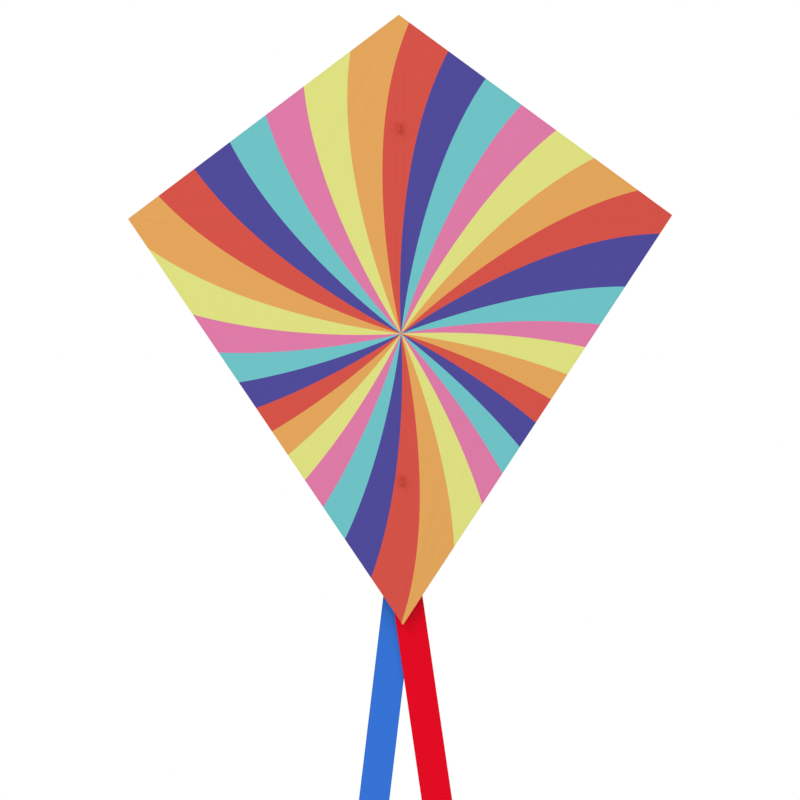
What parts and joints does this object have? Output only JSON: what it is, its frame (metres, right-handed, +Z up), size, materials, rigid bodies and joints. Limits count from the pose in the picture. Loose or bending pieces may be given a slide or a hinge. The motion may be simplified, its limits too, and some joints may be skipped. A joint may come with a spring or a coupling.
{
  "type": "diamond kite",
  "caption": "Flat diamond kite with a printed swirl sail, a folding rod frame on its back and two ribbon tails hung on a clip at the bottom.",
  "frame": {"origin": "middle of the centre hub's flat rear face, where the spine and the cross spar cross", "axes": "+Z up along the spine to the nose, +X to the right as seen by someone facing the front of the sail, +Y to the back, away from them, out of the hub's rear face"},
  "size_m": [0.6794, 0.0383, 1.5823],
  "materials": {
    "sail_cloth": "satin",
    "hem_tape": "matte",
    "webbing": "matte",
    "blue_ribbon": "satin",
    "red_ribbon": "satin",
    "rod": "satin",
    "vinyl": "satin",
    "moulded_plastic": "satin",
    "brass": "polished"
  },
  "bodies": {
    "frame": {"sail_centre_panel": "sail_cloth", "left_nose_hem": "hem_tape", "right_nose_hem": "hem_tape", "left_tail_hem": "hem_tape", "right_tail_hem": "hem_tape", "spine_tape": "hem_tape", "hub_patch": "webbing", "nose_pocket": "webbing", "tail_pocket": "webbing", "upper_spine_tab": "webbing", "lower_spine_tab": "webbing", "upper_bridle_tab": "sail_cloth", "lower_bridle_tab": "sail_cloth", "spine_rod": "rod", "nose_end_cap": "vinyl", "tail_end_cap": "vinyl", "left_spar_sleeve": "vinyl", "right_spar_sleeve": "vinyl", "upper_stop_ring": "vinyl", "lower_stop_ring": "vinyl", "centre_hub": "moulded_plastic", "tail_clip": "moulded_plastic", "tail_clip_cap": "moulded_plastic"},
    "left_wing": {"left_sail_panel": "sail_cloth", "left_leading_hem": "hem_tape", "left_trailing_hem": "hem_tape", "left_wing_pocket": "webbing", "left_cross_spar": "rod", "left_spar_end_cap": "vinyl"},
    "right_wing": {"right_sail_panel": "sail_cloth", "right_leading_hem": "hem_tape", "right_trailing_hem": "hem_tape", "right_wing_pocket": "webbing", "right_cross_spar": "rod", "right_spar_end_cap": "vinyl"},
    "blue_tail_top": {"blue_ribbon_upper": "blue_ribbon", "blue_eyelet": "brass"},
    "blue_tail_end": {"blue_ribbon_lower": "blue_ribbon"},
    "red_tail_top": {"red_ribbon_upper": "red_ribbon", "red_eyelet": "brass"},
    "red_tail_end": {"red_ribbon_lower": "red_ribbon"}
  },
  "joints": [
    {"name": "left_wing_fold", "type": "hinge", "parent": "frame", "child": "left_wing", "pos_m": [-0.03718, -0.01, 0], "axis": [-0.0442, 0, -0.999], "range_deg": [0, 85], "stiffness_Nm_per_rad": 0.1, "deforming": ["left_spar_sleeve"]},
    {"name": "right_wing_fold", "type": "hinge", "parent": "frame", "child": "right_wing", "pos_m": [0.03718, -0.01, 0], "axis": [-0.0442, 0, 0.999], "range_deg": [0, 85], "stiffness_Nm_per_rad": 0.1, "deforming": ["right_spar_sleeve"]},
    {"name": "blue_tail_swing", "type": "hinge", "parent": "frame", "child": "blue_tail_top", "pos_m": [0, 0.00315, -0.4334], "axis": [0, 1, 0], "range_deg": [-30, 30]},
    {"name": "blue_tail_lift", "type": "hinge", "parent": "blue_tail_top", "child": "blue_tail_end", "pos_m": [-0.02569, 0.0037, -0.63678], "axis": [0.9921, 0, -0.1253], "range_deg": [0, 75]},
    {"name": "red_tail_swing", "type": "hinge", "parent": "frame", "child": "red_tail_top", "pos_m": [0, 0.00095, -0.4334], "axis": [0, 1, 0], "range_deg": [-30, 30]},
    {"name": "red_tail_lift", "type": "hinge", "parent": "red_tail_top", "child": "red_tail_end", "pos_m": [0.02818, 0.0015, -0.63645], "axis": [0.9905, 0, 0.1374], "range_deg": [0, 75]}
  ]
}
